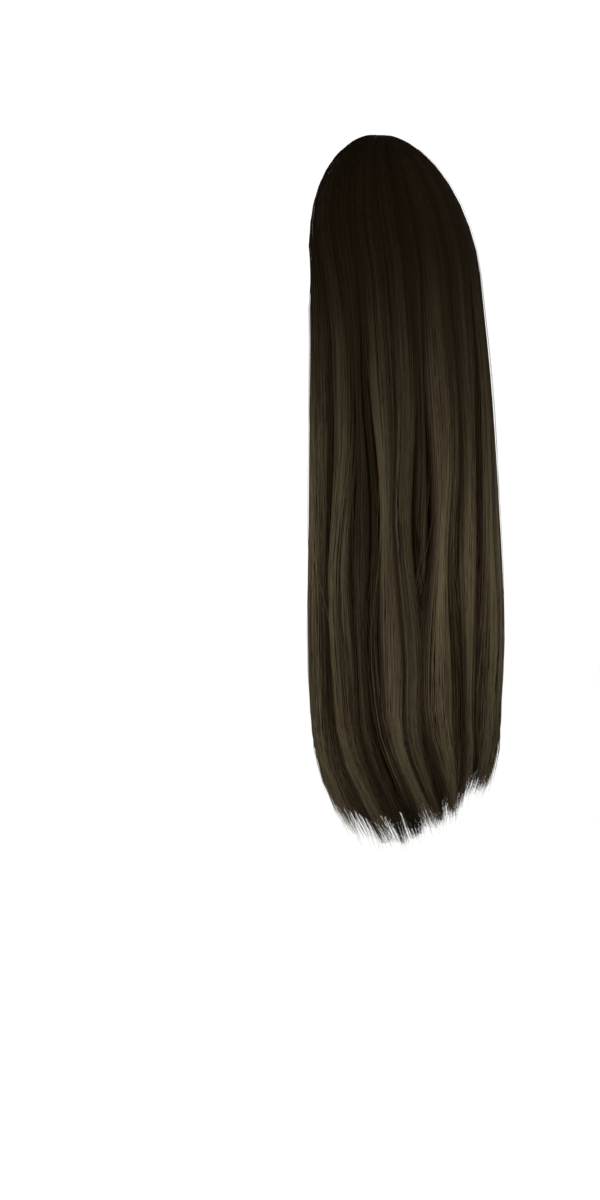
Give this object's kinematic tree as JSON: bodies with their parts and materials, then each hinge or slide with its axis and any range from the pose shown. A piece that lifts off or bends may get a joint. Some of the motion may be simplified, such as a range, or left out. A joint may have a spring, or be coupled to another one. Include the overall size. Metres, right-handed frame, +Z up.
{
  "type": "ponytail hairpiece",
  "caption": "Long straight ponytail hairpiece: a net cap with a comb, bound roots, a rounded crown and layered hanging locks round an open hollow for the back of the head.",
  "frame": {"origin": "middle of the net cap's mouth, on the scalp at the back of the crown", "axes": "+Z up as worn, the wearer faces +Y, the hair falls behind along -Z, and -X is the wearer's left"},
  "size_m": [0.1639, 0.1063, 0.4572],
  "materials": {
    "hair": "straight synthetic fibre, dark brown, soft satin sheen",
    "net": "knitted elastic net, matt",
    "comb": "moulded plastic, brown, glossy"
  },
  "bodies": {
    "root": {"base_cap": "net", "comb": "comb", "root_tuft": "hair", "outer_lock_01": "hair", "outer_lock_02": "hair", "outer_lock_03": "hair", "outer_lock_04": "hair", "outer_lock_05": "hair", "outer_lock_06": "hair", "outer_lock_07": "hair", "outer_lock_08": "hair", "outer_lock_09": "hair", "outer_lock_10": "hair", "outer_lock_11": "hair", "outer_lock_12": "hair", "outer_lock_13": "hair", "outer_lock_14": "hair", "outer_lock_15": "hair", "outer_lock_16": "hair", "outer_lock_17": "hair", "outer_lock_18": "hair", "outer_lock_19": "hair", "inner_lock_01": "hair", "inner_lock_02": "hair", "inner_lock_03": "hair", "inner_lock_04": "hair", "inner_lock_05": "hair", "inner_lock_06": "hair", "inner_lock_07": "hair", "inner_lock_08": "hair"}
  },
  "joints": []
}
